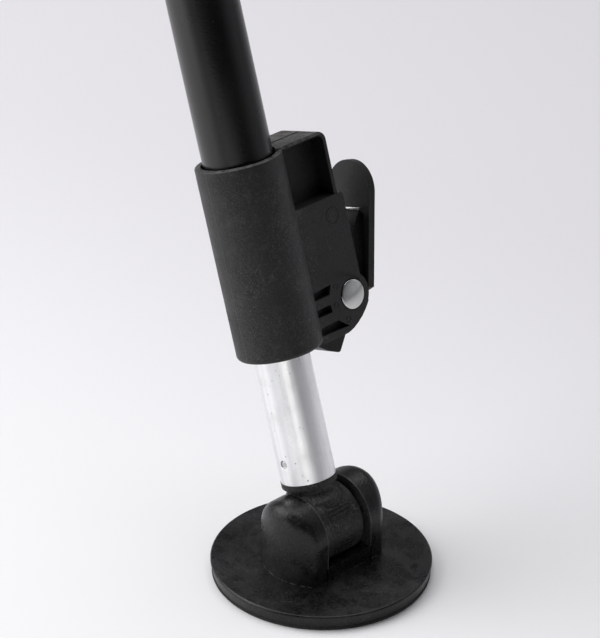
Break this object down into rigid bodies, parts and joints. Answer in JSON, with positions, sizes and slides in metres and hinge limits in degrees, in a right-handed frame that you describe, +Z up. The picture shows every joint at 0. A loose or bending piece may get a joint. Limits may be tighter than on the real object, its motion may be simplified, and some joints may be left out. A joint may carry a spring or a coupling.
{
  "type": "telescoping door security bar",
  "caption": "Telescoping door security bar with a padded knob yoke, a spring lever clamp on a sliding aluminium leg and a pivoting round foot.",
  "frame": {"origin": "centre of the rubber sole's underside, on the floor", "axes": "+Z up; the bar leans 18 degrees towards +X, the door side; the foot's hinge runs along Y; the lever is on the -Y side"},
  "size_m": [0.2881, 0.1144, 0.7221],
  "materials": {
    "satin_black_steel": "satin black powder coat",
    "black_plastic": "fine grained moulded black",
    "screw_steel": "zinc plated",
    "nylon": "natural nylon",
    "lever_plastic": "moulded black",
    "jaw_steel": "hardened steel",
    "pin_zinc": "satin",
    "clip_steel": "spring steel",
    "spring_steel": "spring steel wire",
    "aluminium": "satin, drawn",
    "plug_plastic": "moulded black",
    "knuckle_plastic": "coarse grained moulded black",
    "rubber": "matte black",
    "foot_plastic": "smooth moulded black",
    "yoke_plastic": "fine grained moulded black",
    "liner_rubber": "matte dark grey"
  },
  "bodies": {
    "bar": {"outer_tube": "satin_black_steel", "clamp_housing": "black_plastic", "housing_screws": "screw_steel", "lower_guide_bush": "nylon", "lever_pin": "pin_zinc", "pin_clip": "clip_steel", "yoke": "yoke_plastic", "yoke_liner": "liner_rubber", "button_spring": "spring_steel"},
    "lever": {"release_lever": "lever_plastic", "grip_jaw": "jaw_steel", "lever_spring": "spring_steel"},
    "glide": {"glide_bush": "nylon"},
    "leg": {"bush_ring": "clip_steel", "inner_tube": "aluminium", "tube_plug": "plug_plastic", "plug_pin": "clip_steel", "knuckle": "knuckle_plastic"},
    "foot": {"foot_base": "foot_plastic", "sole_pad": "rubber", "hinge_pin": "clip_steel", "hinge_washer": "rubber"},
    "button": {"snap_button": "screw_steel"}
  },
  "joints": [
    {"name": "lever_press", "type": "hinge", "parent": "bar", "child": "lever", "pos_m": [0.03007, -0.0366, 0.11829], "axis": [-0.9511, 0, 0.309], "range_deg": [0, 15], "stiffness_Nm_per_rad": 0.6, "springref_deg": -28.65},
    {"name": "leg_slide", "type": "slide", "parent": "bar", "child": "glide", "axis": [-0.309, 0, -0.9511], "range_m": [-0.05, 0.315]},
    {"name": "leg_turn", "type": "hinge", "parent": "glide", "child": "leg", "pos_m": [0, 0.002, 0.02575], "axis": [0.309, 0, 0.9511], "continuous": true},
    {"name": "foot_tilt", "type": "hinge", "parent": "leg", "child": "foot", "pos_m": [0, 0.002, 0.02575], "axis": [0, 1, 0], "range_deg": [-57, 93]},
    {"name": "button_press", "type": "slide", "parent": "bar", "child": "button", "axis": [0.9511, 0, -0.309], "range_m": [0, 0.004], "stiffness_N_per_m": 800, "springref_m": -0.004, "deforming": ["button_spring"]}
  ]
}
